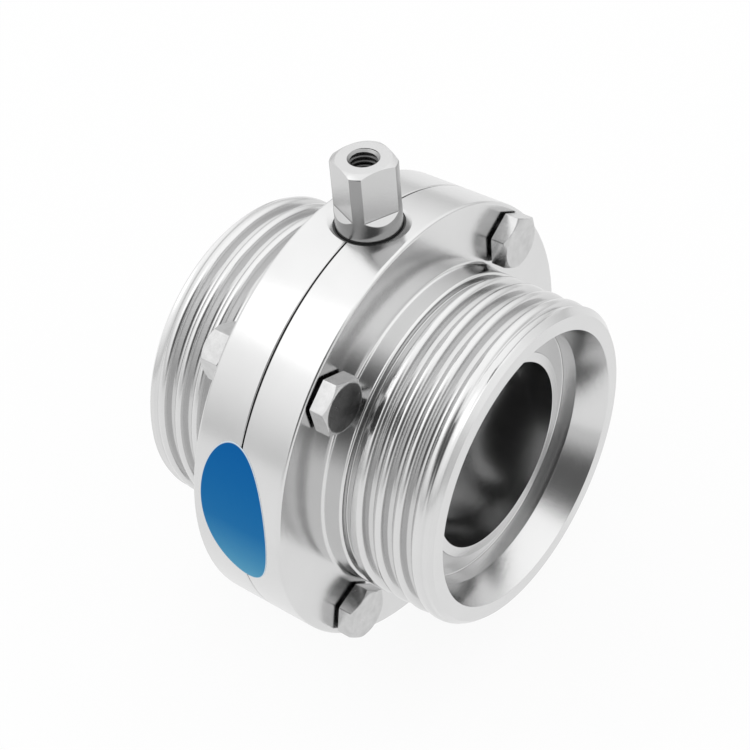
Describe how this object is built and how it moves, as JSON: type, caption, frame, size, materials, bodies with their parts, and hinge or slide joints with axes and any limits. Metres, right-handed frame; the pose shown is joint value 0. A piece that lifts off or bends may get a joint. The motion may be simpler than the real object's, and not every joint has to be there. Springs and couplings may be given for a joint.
{
  "type": "sanitary butterfly valve",
  "caption": "Bare-stem sanitary butterfly valve with a split bolted housing, round-threaded male ends with gasket recesses, a turning disc and a square stem.",
  "frame": {"origin": "where the pipe axis crosses the stem axis, in the middle of the valve", "axes": "+X along the pipe axis, out of the end on the side of the bolt heads; +Z along the stem axis, out of the stem's open end; +Y completes the right-handed frame, so the label is on the -Y side"},
  "size_m": [0.068, 0.0901, 0.1035],
  "materials": {
    "housing_steel": "turned and polished stainless steel",
    "disc_steel": "polished stainless steel",
    "fastener_steel": "bright cold-formed stainless steel",
    "seat_rubber": "smooth black rubber",
    "bush_plastic": "black bearing plastic",
    "label_blue": "bare blue film with a thin pale edge"
  },
  "bodies": {
    "housing": {"front_body_half": "housing_steel", "rear_body_half": "housing_steel", "seat_ring": "seat_rubber", "upper_stem_bush": "bush_plastic", "lower_stem_bush": "bush_plastic", "blank_label": "label_blue", "bolt_1": "fastener_steel", "bolt_2": "fastener_steel", "bolt_3": "fastener_steel", "bolt_4": "fastener_steel", "nut_1": "fastener_steel", "nut_2": "fastener_steel", "nut_3": "fastener_steel", "nut_4": "fastener_steel"},
    "disc": {"disc_and_stem": "disc_steel"}
  },
  "joints": [
    {"name": "stem_turn", "type": "hinge", "parent": "housing", "child": "disc", "pos_m": [0, 0, 0], "axis": [0, 0, 1], "range_deg": [-67, 23]}
  ]
}
